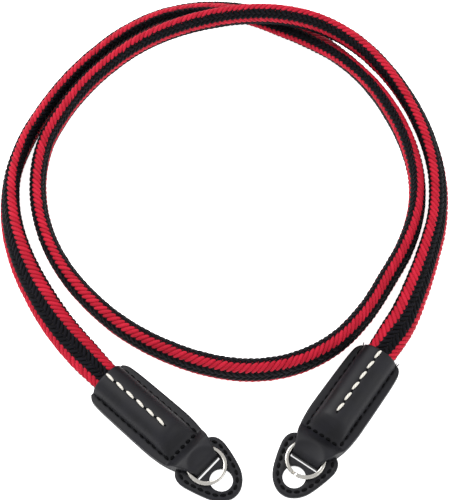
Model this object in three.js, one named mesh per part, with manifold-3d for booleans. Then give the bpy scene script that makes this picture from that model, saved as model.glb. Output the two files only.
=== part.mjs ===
// Coiled camera strap: an oval braided rope with a folded leather tab at each end,
// and on each tab a split ring lying on a leather ring pad. Millimetres, +Z up.
import * as THREE from "three";
import { mergeVertices } from "three/addons/utils/BufferGeometryUtils.js";
import Module from "manifold-3d";

const wasm = await Module();
wasm.setup();

// Clearance between touching pieces, and thin leather
const CLEARANCE = 0.3;
const BACK_THICKNESS = 1.3; // back panel of a tab, under the rope
const FRONT_THICKNESS = 1.4; // front panel, moulded over the rope
const TONGUE_THICKNESS = 1.1; // the skived tongue that turns round the ring
const FOLD_THICKNESS = 1.2; // the tongue's wall where it turns
const PAD_THICKNESS = 1.6; // two layers of a ring pad

// Middle radius of the coil, and the rope: a flat oval, wide axis by thin axis
const COIL_RADIUS = 80;
const ROPE_WIDTH = 12.5;
const ROPE_THICKNESS = 6.8;
const PRESSED_WIDTH = 11.6; // inside a tab, where the leather presses it
const PRESSED_THICKNESS = 5.0;
const PRESSED_EASE = 14; // how far outside the mouth it takes to swell again
const ROPE_SIDES = 16;
const ROPE_STEPS = 128;

// Leather tab, measured along its own axis from the rope mouth to the tongue's fold
const TAB_LENGTH = 49.5;
const TAB_WIDTH = 20.4;
const TAB_EDGE = 0.5; // how much the top edge is rounded off
const ROPE_SEAT = 30; // how far the rope reaches into the tab
const LOOP_START = 10.5; // the tongue's loop opens this far before the fold
const FOLD_WIDTH = 10.6; // the tongue at its fold

// Split ring: two flat turns with a short step between them
const RING_OUTER_RADIUS = 7.2;
const RING_WIRE_WIDTH = 1.3;
const RING_TURN_HEIGHT = 0.6;
const RING_TURN_RISE = 0.7; // from one turn's underside to the next
const RING_BEFORE_FOLD = 0.6; // ring centre, back from the fold
const RING_STEP_ANGLE = 16; // degrees in which the wire climbs
const RING_STEPS = 88;
const RING_EDGE = 0.2; // how much the flat wire's corners are cut

// Ring pad
const PAD_WIDTH = 21.8;
const PAD_BEFORE_FOLD = 9.0; // the part under the tongue
const PAD_PAST_FOLD = 13.9;
const HOLE_RADIUS = 4.1;
const HOLE_PAST_FOLD = 6.4;
const SLIT_OPEN = 0.6; // free width of the slit beside the folded tongue

// Stack above the surface that the strap lies on
const ROPE_IN_TAB = BACK_THICKNESS + CLEARANCE + PRESSED_THICKNESS / 2;
const PAD_BASE = TONGUE_THICKNESS + CLEARANCE;
const PAD_TOP = PAD_BASE + PAD_THICKNESS;
const RING_BASE = PAD_TOP + CLEARANCE;
const RING_TOP = RING_BASE + RING_TURN_RISE + RING_TURN_HEIGHT;
const LOOP_TOP = RING_TOP + CLEARANCE;
const TONGUE_TOP = LOOP_TOP + TONGUE_THICKNESS;
const CREST = ROPE_IN_TAB + PRESSED_THICKNESS / 2 + CLEARANCE + FRONT_THICKNESS;
const FLANGE = 2 * BACK_THICKNESS;

// Where each tab's mouth lies, as shares of the coil's radius from its centre, which way
// the tab points (degrees from +X), and where its ring's wire ends (degrees from there)
const TABS = {
  left: { right: -0.5263, ahead: -1.03, heading: -42.4, wireEnd: 200 },
  right: { right: 0.7088, ahead: -0.9138, heading: -125.0, wireEnd: 5 },
};

// The rope's route round the coil's centre, from the left tab to the right one:
// bearing (degrees from +X, falling as the rope runs clockwise), how far out as a share
// of the coil's radius, rise off the surface as a share of the rope's width, and roll
// (0 lies flat, 90 stands on edge).
const ROUTE = [
  { bearing: 228, out: 1.085, rise: 0.016, roll: 22 },
  { bearing: 216, out: 1.0513, rise: 0, roll: 35 },
  { bearing: 204, out: 1.0375, rise: 0, roll: 47 },
  { bearing: 192, out: 1.03, rise: 0, roll: 60 },
  { bearing: 180, out: 1.015, rise: 0, roll: 74 },
  { bearing: 168, out: 0.985, rise: 0, roll: 82 },
  { bearing: 156, out: 0.96, rise: 0, roll: 80 },
  { bearing: 144, out: 0.9563, rise: 0, roll: 74 },
  { bearing: 132, out: 0.9662, rise: 0, roll: 70 },
  { bearing: 120, out: 0.99, rise: 0, roll: 68 },
  { bearing: 108, out: 1.0137, rise: 0, roll: 61 },
  { bearing: 96, out: 1.0225, rise: 0, roll: 45 },
  { bearing: 84, out: 1.0075, rise: 0.004, roll: 24 },
  { bearing: 72, out: 0.975, rise: 0.008, roll: 15 },
  { bearing: 60, out: 0.945, rise: 0.004, roll: 29 },
  { bearing: 48, out: 0.9238, rise: 0, roll: 53 },
  { bearing: 36, out: 0.9113, rise: 0, roll: 74 },
  { bearing: 24, out: 0.9075, rise: 0, roll: 85 },
  { bearing: 12, out: 0.9137, rise: 0, roll: 88 },
  { bearing: 0, out: 0.925, rise: 0, roll: 87 },
  { bearing: -12, out: 0.93, rise: 0, roll: 83 },
  { bearing: -24, out: 0.9287, rise: 0, roll: 78 },
  { bearing: -36, out: 0.9325, rise: 0, roll: 78 },
  { bearing: -48, out: 0.9675, rise: 0, roll: 80 },
  { bearing: -60, out: 1.0063, rise: 0, roll: 80 },
  { bearing: -72, out: 1.0212, rise: 0, roll: 80 },
  { bearing: -84, out: 1.0075, rise: 0, roll: 81 },
  { bearing: -96, out: 0.9725, rise: 0, roll: 82 },
  { bearing: -108, out: 0.9387, rise: 0, roll: 83 },
  { bearing: -120, out: 0.915, rise: 0, roll: 84 },
  { bearing: -132, out: 0.8975, rise: 0, roll: 86 },
  { bearing: -144, out: 0.8912, rise: 0, roll: 88 },
  { bearing: -156, out: 0.89, rise: 0, roll: 89 },
  { bearing: -168, out: 0.89, rise: 0, roll: 90 },
  { bearing: -180, out: 0.89, rise: 0, roll: 90 },
  { bearing: -192, out: 0.8863, rise: 0.048, roll: 87 },
  { bearing: -204, out: 0.865, rise: 0.16, roll: 82 },
  { bearing: -216, out: 0.855, rise: 0.208, roll: 81 },
  { bearing: -228, out: 0.8575, rise: 0.224, roll: 80 },
  { bearing: -240, out: 0.87, rise: 0.264, roll: 79 },
  { bearing: -252, out: 0.88, rise: 0.344, roll: 79 },
  { bearing: -264, out: 0.8925, rise: 0.448, roll: 81 },
  { bearing: -276, out: 0.9125, rise: 0.576, roll: 82 },
  { bearing: -288, out: 0.9425, rise: 0.64, roll: 83 },
  { bearing: -300, out: 0.9725, rise: 0.608, roll: 83 },
  { bearing: -312, out: 0.9912, rise: 0.48, roll: 80 },
  { bearing: -324, out: 0.9988, rise: 0.312, roll: 76 },
  { bearing: -336, out: 1.0037, rise: 0.176, roll: 72 },
  { bearing: -348, out: 1.0125, rise: 0.096, roll: 69 },
  { bearing: -360, out: 1.025, rise: 0.048, roll: 66 },
  { bearing: -372, out: 1.0337, rise: 0.024, roll: 61 },
  { bearing: -384, out: 1.0425, rise: 0.002, roll: 52 },
  { bearing: -396, out: 1.0775, rise: 0.002, roll: 40 },
  { bearing: -403, out: 1.11, rise: 0.016, roll: 30 },
];

// Tab outline and heights. "along" is a share of the stretch before the loop (under 1)
// or of the loop itself (1 to 2). "spread" goes from the fold's width (0) to the tab's
// full width (1). "bulge" and "loop" say how much of each rise is reached.
const TAB_ROWS = [
  { along: 0, spread: 0.55, bulge: 1, loop: 0 },
  { along: 0.02, spread: 0.71, bulge: 1, loop: 0 },
  { along: 0.07, spread: 0.86, bulge: 1, loop: 0 },
  { along: 0.25, spread: 0.94, bulge: 1, loop: 0 },
  { along: 0.5, spread: 0.98, bulge: 1, loop: 0 },
  { along: 0.72, spread: 1, bulge: 1, loop: 0 },
  { along: 0.79, spread: 0.99, bulge: 0.98, loop: 0 },
  { along: 0.85, spread: 0.96, bulge: 0.78, loop: 0 },
  { along: 0.9, spread: 0.92, bulge: 0.5, loop: 0 },
  { along: 0.95, spread: 0.86, bulge: 0.26, loop: 0 },
  { along: 1, spread: 0.78, bulge: 0.16, loop: 0.12 },
  { along: 1.06, spread: 0.71, bulge: 0.1, loop: 0.42 },
  { along: 1.14, spread: 0.63, bulge: 0.08, loop: 0.78 },
  { along: 1.25, spread: 0.53, bulge: 0.06, loop: 1 },
  { along: 1.4, spread: 0.39, bulge: 0.05, loop: 1.01 },
  { along: 1.55, spread: 0.24, bulge: 0.04, loop: 1 },
  { along: 1.7, spread: 0.12, bulge: 0.03, loop: 0.98 },
  { along: 1.82, spread: 0.04, bulge: 0.02, loop: 0.96 },
];
// The rounded fold: how far through the tongue's wall, and how much of the leather's
// thickness is gone on top ("lower") and underneath ("raise").
const FOLD_ROWS = [
  { along: 0.0, lower: 0.1, raise: 0 },
  { along: 0.45, lower: 0.22, raise: 0.06 },
  { along: 0.8, lower: 0.55, raise: 0.3 },
  { along: 1.0, lower: 1.15, raise: 0.75 },
];
// The loop's side view, as shares of its length and of its height.
const LOOP_PROFILE = [
  { along: 0.01, high: 0 },
  { along: 0.97, high: 0 },
  { along: 1, high: 0.06 },
  { along: 1, high: 0.85 },
  { along: 0.935, high: 1 },
  { along: 0.29, high: 1 },
  { along: 0.15, high: 0.77 },
  { along: 0.04, high: 0.3 },
];

// Half of a ring pad's outline, from its hidden top edge to its rounded foot. "along"
// is a share of the part before the fold (negative) or of the part past it, and
// "spread" a share of the pad's full width.
const PAD_OUTLINE = [
  { along: -1, spread: 0 },
  { along: -0.98, spread: 0.37 },
  { along: -0.91, spread: 0.66 },
  { along: -0.78, spread: 0.86 },
  { along: -0.58, spread: 0.97 },
  { along: -0.29, spread: 1 },
  { along: 0.04, spread: 0.945 },
  { along: 0.25, spread: 0.87 },
  { along: 0.47, spread: 0.78 },
  { along: 0.65, spread: 0.68 },
  { along: 0.81, spread: 0.53 },
  { along: 0.92, spread: 0.35 },
  { along: 0.985, spread: 0.165 },
  { along: 1, spread: 0 },
];

const radians = THREE.MathUtils.degToRad;
const UP = new THREE.Vector3(0, 0, 1);

// Braided rope

// Height of the oval's centre above what it rests on, for a roll angle.
function restingHeight(roll) {
  const upright = (ROPE_WIDTH / 2) * Math.sin(roll);
  const flat = (ROPE_THICKNESS / 2) * Math.cos(roll);
  return Math.hypot(upright, flat);
}

// A point on a tab's axis, seated at the height that the rope has there.
function tabPoint(tab, along) {
  const heading = radians(tab.heading);
  const x = tab.right * COIL_RADIUS + along * Math.cos(heading);
  const y = tab.ahead * COIL_RADIUS + along * Math.sin(heading);
  return { point: new THREE.Vector3(x, y, ROPE_IN_TAB), roll: 0 };
}

function coilPoint(row) {
  const bearing = radians(row.bearing);
  const roll = radians(row.roll);
  const x = row.out * COIL_RADIUS * Math.cos(bearing);
  const y = row.out * COIL_RADIUS * Math.sin(bearing);
  const z = restingHeight(roll) + row.rise * ROPE_WIDTH;
  return { point: new THREE.Vector3(x, y, z), roll };
}

function routeStops() {
  const inside = [ROPE_SEAT, ROPE_SEAT * 0.75, ROPE_SEAT * 0.5, ROPE_SEAT * 0.25, 0];
  const leaving = inside.map((along) => tabPoint(TABS.left, along));
  const entering = inside.map((along) => tabPoint(TABS.right, along)).reverse();
  return [...leaving, ...ROUTE.map(coilPoint), ...entering];
}

// The rope's centre, its wide axis and its thin axis at evenly spaced places.
function ropeFrames() {
  const stops = routeStops();
  const curve = new THREE.CatmullRomCurve3(stops.map((s) => s.point), false, "centripetal");
  curve.arcLengthDivisions = 2000;
  const length = curve.getLength();
  const frames = [];
  for (let i = 0; i <= ROPE_STEPS; i++) {
    const t = curve.getUtoTmapping(i / ROPE_STEPS);
    const place = t * (stops.length - 1);
    const k = Math.min(Math.floor(place), stops.length - 2);
    const roll = THREE.MathUtils.lerp(stops[k].roll, stops[k + 1].roll, place - k);
    const tangent = curve.getTangent(t);
    const outward = new THREE.Vector3().crossVectors(UP, tangent).normalize();
    const above = new THREE.Vector3().crossVectors(tangent, outward);
    const wide = outward.clone().multiplyScalar(-Math.cos(roll));
    wide.addScaledVector(above, Math.sin(roll));
    const thin = above.clone().multiplyScalar(Math.cos(roll));
    thin.addScaledVector(outward, Math.sin(roll));
    const gone = (length * i) / ROPE_STEPS;
    const outside = Math.min(gone, length - gone) - ROPE_SEAT;
    const swelled = THREE.MathUtils.smoothstep(outside, 0, PRESSED_EASE);
    frames.push({ centre: curve.getPoint(t), wide, thin, swelled });
  }
  return frames;
}

function ropeSection(frame) {
  const ring = [];
  const width = THREE.MathUtils.lerp(PRESSED_WIDTH, ROPE_WIDTH, frame.swelled);
  const thickness = THREE.MathUtils.lerp(PRESSED_THICKNESS, ROPE_THICKNESS, frame.swelled);
  for (let i = 0; i < ROPE_SIDES; i++) {
    const angle = (2 * Math.PI * (i + 0.5)) / ROPE_SIDES;
    const point = frame.centre.clone();
    point.addScaledVector(frame.wide, (width / 2) * Math.cos(angle));
    point.addScaledVector(frame.thin, (thickness / 2) * Math.sin(angle));
    ring.push(point);
  }
  return ring;
}

// Closed solids

// A closed skin over rings of equally many points, with both ends capped.
function loft(rings) {
  const sides = rings[0].length;
  const positions = rings.flat().flatMap((p) => [p.x, p.y, p.z]);
  const index = [];
  for (let i = 0; i + 1 < rings.length; i++) {
    for (let k = 0; k < sides; k++) {
      const a = i * sides + k;
      const b = i * sides + ((k + 1) % sides);
      index.push(a, b, a + sides, b, b + sides, a + sides);
    }
  }
  const last = (rings.length - 1) * sides;
  for (const [p, q, r] of capFaces(rings[0])) index.push(r, q, p);
  for (const [p, q, r] of capFaces(rings.at(-1))) index.push(last + p, last + q, last + r);
  const geometry = new THREE.BufferGeometry();
  geometry.setAttribute("position", new THREE.Float32BufferAttribute(positions, 3));
  geometry.setIndex(index);
  return facingOut(geometry);
}

// Triangles over a flat ring, in the ring's own order.
function capFaces(ring) {
  const origin = ring[0];
  const across = ring[1].clone().sub(origin).normalize();
  const normal = new THREE.Vector3();
  for (let i = 1; i + 1 < ring.length; i++) {
    const a = ring[i].clone().sub(origin);
    normal.add(a.cross(ring[i + 1].clone().sub(origin)));
  }
  const along = normal.normalize().cross(across);
  const flat = ring.map((p) => {
    const d = p.clone().sub(origin);
    return new THREE.Vector2(d.dot(across), d.dot(along));
  });
  return THREE.ShapeUtils.triangulateShape(flat, []);
}

function solidOf(geometry) {
  const bare = geometry.clone();
  for (const name of Object.keys(bare.attributes)) {
    if (name !== "position") bare.deleteAttribute(name);
  }
  const merged = mergeVertices(bare, 1e-4);
  const vertProperties = new Float32Array(merged.attributes.position.array);
  const triVerts = new Uint32Array(merged.index.array);
  return new wasm.Manifold(new wasm.Mesh({ numProp: 3, vertProperties, triVerts }));
}

function geometryOf(solid) {
  const mesh = solid.getMesh();
  const geometry = new THREE.BufferGeometry();
  const positions = new THREE.Float32BufferAttribute(Array.from(mesh.vertProperties), 3);
  geometry.setAttribute("position", positions);
  geometry.setIndex(Array.from(mesh.triVerts));
  geometry.computeVertexNormals();
  return geometry;
}

// The same geometry, turned round if its faces point inwards.
function facingOut(geometry) {
  if (solidOf(geometry).volume() < 0) {
    const index = geometry.index.array;
    for (let i = 0; i < index.length; i += 3) {
      [index[i + 1], index[i + 2]] = [index[i + 2], index[i + 1]];
    }
  }
  geometry.computeVertexNormals();
  return geometry;
}

// Leather tab, in its own frame: x along its axis, y across, z up

const BULGE_POWER = 2.2; // 2 is an ellipse, more is squarer
const BULGE_HALF = PRESSED_WIDTH / 2 + CLEARANCE + FRONT_THICKNESS;
const LOOP_AT = TAB_LENGTH - LOOP_START;
const LOOP_END = TAB_LENGTH - FOLD_THICKNESS;
const ACROSS = [1, 0.97, 0.9, 0.82, 0.765, 0.7, 0.6, 0.45, 0.3, 0.15];

function bulge(y) {
  const share = Math.min(1, Math.abs(y) / BULGE_HALF);
  return Math.sqrt(1 - share ** BULGE_POWER);
}

function tabSection(x, half, base, edge, crest) {
  const lift = (y) => edge + (crest - edge) * bulge(y);
  const right = ACROSS.map((share) => share * half);
  const across = [...right, 0, ...right.map((y) => -y).reverse()];
  const top = across.map((y) => {
    const rounding = Math.abs(y) > 0.99 * half ? TAB_EDGE : 0;
    return new THREE.Vector3(x, y, lift(y) - rounding);
  });
  const under = [-1, -0.5, 0, 0.5, 1].map((share) => {
    const inset = Math.abs(share) === 1 ? TAB_EDGE / 2 : 0;
    return new THREE.Vector3(x, share * half - Math.sign(share) * inset, base);
  });
  return [...top, ...under];
}

function tabBody() {
  const rings = TAB_ROWS.map((row) => {
    const before = Math.min(row.along, 1) * LOOP_AT;
    const after = Math.max(row.along - 1, 0) * (LOOP_END - LOOP_AT);
    const edge = FLANGE + (TONGUE_TOP - FLANGE) * row.loop;
    const half = THREE.MathUtils.lerp(FOLD_WIDTH, TAB_WIDTH, row.spread) / 2;
    return tabSection(before + after, half, 0, edge, edge + (CREST - FLANGE) * row.bulge);
  });
  for (const row of FOLD_ROWS) {
    const x = LOOP_END + row.along * FOLD_THICKNESS;
    const top = TONGUE_TOP - row.lower * TONGUE_THICKNESS;
    rings.push(tabSection(x, FOLD_WIDTH / 2, row.raise * TONGUE_THICKNESS, top, top));
  }
  return loft(rings);
}

// The space for the rope's end, open at the tab's mouth.
function ropeSocket() {
  const rings = [-ROPE_THICKNESS, ROPE_SEAT + CLEARANCE].map((x) => {
    const ring = [];
    for (let i = 0; i < 28; i++) {
      const angle = (2 * Math.PI * i) / 28;
      const y = (PRESSED_WIDTH / 2 + CLEARANCE) * Math.cos(angle);
      const z = ROPE_IN_TAB + (PRESSED_THICKNESS / 2 + CLEARANCE) * Math.sin(angle);
      ring.push(new THREE.Vector3(x, y, z));
    }
    return ring;
  });
  return loft(rings);
}

// The space inside the tongue's loop, right through from side to side.
function loopSpace() {
  const profile = LOOP_PROFILE.map((row) => {
    const x = THREE.MathUtils.lerp(LOOP_AT, LOOP_END, row.along);
    const z = THREE.MathUtils.lerp(TONGUE_THICKNESS, LOOP_TOP, row.high);
    return { x, z };
  });
  const sides = [-TAB_WIDTH, TAB_WIDTH];
  return loft(sides.map((y) => profile.map(({ x, z }) => new THREE.Vector3(x, y, z))));
}

function endTab() {
  const body = solidOf(tabBody()).subtract(solidOf(ropeSocket()));
  return geometryOf(body.subtract(solidOf(loopSpace())));
}

// Ring pad, flat, in the tab's frame

function padOutline() {
  const half = PAD_OUTLINE.map((row) => {
    const past = row.along * (row.along < 0 ? PAD_BEFORE_FOLD : PAD_PAST_FOLD);
    return new THREE.Vector2(TAB_LENGTH + past, (row.spread * PAD_WIDTH) / 2);
  });
  const other = half.slice(1, -1).reverse().map((p) => new THREE.Vector2(p.x, -p.y));
  const closed = [...half, ...other].map((p) => new THREE.Vector3(p.x, p.y, 0));
  return new THREE.CatmullRomCurve3(closed, true).getPoints(64).slice(0, -1);
}

function ringPad() {
  const middle = PAD_BASE + PAD_THICKNESS / 2;
  const shape = new THREE.Shape(padOutline().map((p) => new THREE.Vector2(p.x, p.y)));
  const options = { depth: PAD_THICKNESS, bevelEnabled: false };
  const sheet = new THREE.ExtrudeGeometry(shape, options).translate(0, 0, PAD_BASE);
  const hole = new THREE.CylinderGeometry(HOLE_RADIUS, HOLE_RADIUS, 3 * PAD_THICKNESS, 40);
  hole.rotateX(Math.PI / 2).translate(TAB_LENGTH + HOLE_PAST_FOLD, 0, middle);
  const near = LOOP_END - CLEARANCE;
  const far = TAB_LENGTH + SLIT_OPEN;
  const reach = FOLD_WIDTH + 2 * CLEARANCE;
  const slit = new THREE.BoxGeometry(far - near, reach, 3 * PAD_THICKNESS);
  slit.translate((near + far) / 2, 0, middle);
  const pierced = solidOf(sheet).subtract(solidOf(hole)).subtract(solidOf(slit));
  return geometryOf(pierced);
}

// Split ring, in the tab's frame

function splitRing(wireEnd) {
  const step = radians(RING_STEP_ANGLE);
  const turn = 2 * Math.PI - step;
  const total = 2 * turn + step;
  const middle = RING_OUTER_RADIUS - RING_WIRE_WIDTH / 2;
  const centre = TAB_LENGTH - RING_BEFORE_FOLD;
  const start = radians(wireEnd);
  const rings = [];
  for (let i = 0; i <= RING_STEPS; i++) {
    const swept = (total * i) / RING_STEPS;
    const climbed = THREE.MathUtils.smoothstep(swept, turn, turn + step);
    const base = RING_BASE + climbed * RING_TURN_RISE;
    rings.push(wireSection(centre, start + swept, middle, base));
  }
  return loft(rings);
}

function wireSection(centre, angle, middle, base) {
  const out = RING_WIRE_WIDTH / 2;
  const top = RING_TURN_HEIGHT;
  const corners = [
    [-out + RING_EDGE, 0],
    [out - RING_EDGE, 0],
    [out, RING_EDGE],
    [out, top - RING_EDGE],
    [out - RING_EDGE, top],
    [-out + RING_EDGE, top],
    [-out, top - RING_EDGE],
    [-out, RING_EDGE],
  ];
  return corners.map(([away, high]) => {
    const radius = middle + away;
    const x = centre + radius * Math.cos(angle);
    return new THREE.Vector3(x, radius * Math.sin(angle), base + high);
  });
}

// Materials

function finish(color, roughness, metalness) {
  return new THREE.MeshStandardMaterial({ color, roughness, metalness });
}

const BRAID = finish(0xa01a2e, 0.75, 0);
const LEATHER = finish(0x2b2b2f, 0.55, 0);
const NICKEL = finish(0xd8d5cf, 0.2, 1);

// Assembly

function piece(name, geometry, material) {
  const mesh = new THREE.Mesh(geometry, material);
  mesh.name = name;
  return mesh;
}

function strapEnd(side, tab) {
  const end = new THREE.Group();
  end.position.set(tab.right * COIL_RADIUS, tab.ahead * COIL_RADIUS, 0);
  end.rotation.z = radians(tab.heading);
  end.add(piece(`${side}_end_tab`, endTab(), LEATHER));
  end.add(piece(`${side}_ring_pad`, ringPad(), LEATHER));
  end.add(piece(`${side}_split_ring`, splitRing(tab.wireEnd), NICKEL));
  return end;
}

const coil = new THREE.Group();
coil.add(piece("braided_rope", loft(ropeFrames().map(ropeSection)), BRAID));
coil.add(strapEnd("left", TABS.left));
coil.add(strapEnd("right", TABS.right));

// The origin is under the middle of the whole strap, on the surface that it lies on.
const bounds = new THREE.Box3().setFromObject(coil, true);
const middle = bounds.getCenter(new THREE.Vector3());
coil.position.set(-middle.x, -middle.y, -bounds.min.z);

const strap = new THREE.Group();
strap.add(coil);

export default strap;
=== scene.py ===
"""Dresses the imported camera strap: a braided rope in two turns, a leather tab and ring pad
at each end, and two split rings. Metres, in the CAD's own frame."""

import math

import bmesh
import bpy
import numpy as np
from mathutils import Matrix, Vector, geometry


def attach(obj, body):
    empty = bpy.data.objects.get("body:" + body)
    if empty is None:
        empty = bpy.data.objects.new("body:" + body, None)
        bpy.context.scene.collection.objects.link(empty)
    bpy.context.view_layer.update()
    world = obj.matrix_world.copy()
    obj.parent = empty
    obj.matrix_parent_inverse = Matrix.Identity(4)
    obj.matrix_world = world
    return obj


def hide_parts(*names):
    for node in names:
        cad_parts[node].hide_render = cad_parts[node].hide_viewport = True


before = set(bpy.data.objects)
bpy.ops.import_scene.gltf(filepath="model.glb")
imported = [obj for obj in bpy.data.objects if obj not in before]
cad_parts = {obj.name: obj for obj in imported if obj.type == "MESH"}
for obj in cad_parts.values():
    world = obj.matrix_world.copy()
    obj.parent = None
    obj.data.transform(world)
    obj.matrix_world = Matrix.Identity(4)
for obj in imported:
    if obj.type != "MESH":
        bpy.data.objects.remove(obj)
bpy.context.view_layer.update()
MM = 0.001
RNG = np.random.default_rng(7)

# The rope and its coil, as in the CAD
COIL_CENTRE = (-0.000369, 0.020440)
ROPE_WIDTH = 0.0125
ROPE_THICKNESS = 0.0068
ROPE_SEAT = 0.030
ROPE_IN_TAB = 0.0041
PRESSED_WIDTH = 0.0116  # inside a tab, where the leather presses it
PRESSED_THICKNESS = 0.005
PRESSED_EASE = 0.014  # how far outside the mouth it takes to swell again

# Tab mouths from the coil's centre, and headings in degrees
TABS = {
    "left": (-0.042104, -0.082400, -42.4),
    "right": (0.056704, -0.073104, -125.0),
}

# The rope's route: bearing in degrees, radius, lift off the surface, roll in degrees
ROUTE = [
    (228, 0.0868, 0.0002, 22),
    (216, 0.084104, 0, 35),
    (204, 0.083, 0, 47),
    (192, 0.0824, 0, 60),
    (180, 0.0812, 0, 74),
    (168, 0.0788, 0, 82),
    (156, 0.0768, 0, 80),
    (144, 0.076504, 0, 74),
    (132, 0.077296, 0, 70),
    (120, 0.0792, 0, 68),
    (108, 0.081096, 0, 61),
    (96, 0.0818, 0, 45),
    (84, 0.0806, 0.00005, 24),
    (72, 0.078, 0.0001, 15),
    (60, 0.0756, 0.00005, 29),
    (48, 0.073904, 0, 53),
    (36, 0.072904, 0, 74),
    (24, 0.0726, 0, 85),
    (12, 0.073096, 0, 88),
    (0, 0.074, 0, 87),
    (-12, 0.0744, 0, 83),
    (-24, 0.074296, 0, 78),
    (-36, 0.0746, 0, 78),
    (-48, 0.0774, 0, 80),
    (-60, 0.080504, 0, 80),
    (-72, 0.081696, 0, 80),
    (-84, 0.0806, 0, 81),
    (-96, 0.0778, 0, 82),
    (-108, 0.075096, 0, 83),
    (-120, 0.0732, 0, 84),
    (-132, 0.0718, 0, 86),
    (-144, 0.071296, 0, 88),
    (-156, 0.0712, 0, 89),
    (-168, 0.0712, 0, 90),
    (-180, 0.0712, 0, 90),
    (-192, 0.070904, 0.0006, 87),
    (-204, 0.0692, 0.002, 82),
    (-216, 0.0684, 0.0026, 81),
    (-228, 0.0686, 0.0028, 80),
    (-240, 0.0696, 0.0033, 79),
    (-252, 0.0704, 0.0043, 79),
    (-264, 0.0714, 0.0056, 81),
    (-276, 0.073, 0.0072, 82),
    (-288, 0.0754, 0.008, 83),
    (-300, 0.0778, 0.0076, 83),
    (-312, 0.079296, 0.006, 80),
    (-324, 0.079904, 0.0039, 76),
    (-336, 0.080296, 0.0022, 72),
    (-348, 0.081, 0.0012, 69),
    (-360, 0.082, 0.0006, 66),
    (-372, 0.082696, 0.0003, 61),
    (-384, 0.0834, 0.000025, 52),
    (-396, 0.0862, 0.000025, 40),
    (-403, 0.0888, 0.0002, 30),
]

# Braid columns round the rope, from its wide edge over its front face: yarn, width in
# pitches, and whether a bundle leans forwards (1) or backwards (-1) as it goes round
PITCH = 0.00214
COLUMNS = [
    ("red", 1.9, 1),
    ("black", 1.45, -1),
    ("black", 1.45, 1),
    ("red", 1.9, -1),
    ("black", 1.47, 1),
    ("black", 1.47, -1),
    ("black", 1.46, 1),
    ("red", 1.0, -1),
    ("black", 1.2, 1),
    ("black", 1.2, -1),
]
# How far the first column has turned from the wide edge, in pitches, by share of length
TURNED = [
    (0.000, 1.45), (0.080, 1.40), (0.105, 1.00), (0.131, 0.55), (0.178, 0.70), (0.218, 0.90),
    (0.236, 1.40), (0.254, 2.20), (0.272, 3.20), (0.289, 3.90), (0.306, 3.80), (0.322, 3.00),
    (0.338, 1.90), (0.354, 1.30), (0.385, 0.90), (0.430, 1.00), (0.470, 1.25), (0.510, 1.45),
    (0.550, 1.20), (0.600, 0.45), (0.640, -0.15), (0.690, 0.35), (0.762, 0.45), (0.807, 0.40),
    (0.886, 0.25), (0.950, 1.35), (1.000, 1.45),
]
# A bundle's height, how far it runs along for each step round, and its half width in
# pitches, which is over a half so that neighbours overlap
BUNDLE_RISE = 0.00062
BUNDLE_SLOPE = 0.91
BUNDLE_HALF = 0.57
# A tip's reach into the next column, in pitches, and how far it sinks
BUNDLE_TUCK = {"red": 0.36, "black": 0.16}
BUNDLE_SINK = {"red": 0.7, "black": 0.94}
BUNDLE_GROOVE = 0.12  # how much of a bundle's rise its sides keep
BUNDLE_TIP = 0.08  # how much of its width a bundle keeps at its tip
BUNDLE_BED = 0.00008  # how far every bundle is pressed below the rope's skin
# Where a bundle has its points, as shares of its half length and half width
BUNDLE_LONG = (-1, -0.72, -0.26, 0.26, 0.72, 1)
BUNDLE_WIDE = (-1, -0.62, 0, 0.62, 1)
# The unevenness of hand and machine: along the rope, in height, and in tone
BUNDLE_WANDER = 0.00006
BUNDLE_SWELL = 0.00003
BUNDLE_TONES = (-0.02, 0.2)
COVER_REACH = 0.006  # how far the braid is modelled into a tab's socket
CORE_ROWS = 420
CORE_SIDES = 20

# Yarn, in millimetres: a strand's width, its slant in a bundle, and where across the
# bundle the painted shade of the groove begins and ends
STRAND_WIDTH = 0.27
STRAND_SLANT = 0.22
SHADE_FROM = 0.35
SHADE_TO = 0.75
PLY_LENGTH = 0.9  # of sewing thread

# Leather tab, in millimetres along its axis from the mouth, across, and up. The loop is
# what its tongue makes round the ring, the bulge is where the rope is inside
TAB_LENGTH = 49.5
LOOP_END = 48.3
LOOP_FLOOR = 1.1
LOOP_ROOF = 4.9
FLANGE = 2.6  # height of the flat edge
CREST = 8.3  # height over the rope
TONGUE_TOP = 6.0
BULGE_HALF = 7.0
BULGE_POWER = 2.3  # 2 is an ellipse, more is squarer
SEAT_AT = 4.1  # height of the rope's middle
SOCKET_HALF = (6.0, 2.72)  # half width and half height
SOCKET_RINGS = [(30.4, 0), (0.6, 0), (0.0, 0.25)]  # distance in, and how much wider
MOUTH_ROUND = 0.35  # how far in the mouth's edge is rounded
MOUTH_NARROWED = (1, 0.965, 0.955)
MOUTH_LOWEST = 0.1
SKIN_STEP = 0.5  # between two cross-sections
FOLD_START = 47.0
TAB_TOP_POINTS = 51
TAB_FOOT_POINTS = 9

# Grooves and swellings in a tab's leather: depth or height, then half width
STITCH_OUT = 7.05  # where the sewn rows are, out from the middle
STITCH_END = 38.0  # where the row across the foot is
STITCH_GROOVE = 0.12
ROW_HALF = 0.45
FOOT_HALF = 0.5
SEAM_GROOVE = 0.16
SEAM_HALF = 0.55
SEAM_END = 30.5  # where the middle seam's groove ends
SEAM_FADE = 1.5  # over how far it fades
RING_SWELL = 0.35
RING_SWELL_HALF = 1.5
RING_HOLLOW = 0.3
RING_HOLLOW_HALF = 4.0

# A tab's edge, each with its distance out: drops from the top at the rim, then heights at
# the line between the two panels and at the foot
EDGE_REACH = 0.45
TAB_RIM = [(0.33, 0.16), (0.45, 0.5)]
TAB_SEAM = [(0.45, 1.5), (0.27, 1.36), (0.27, 1.24), (0.45, 1.1)]
TAB_FOOT = [(0.45, 0.45), (0.33, 0.13)]

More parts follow.
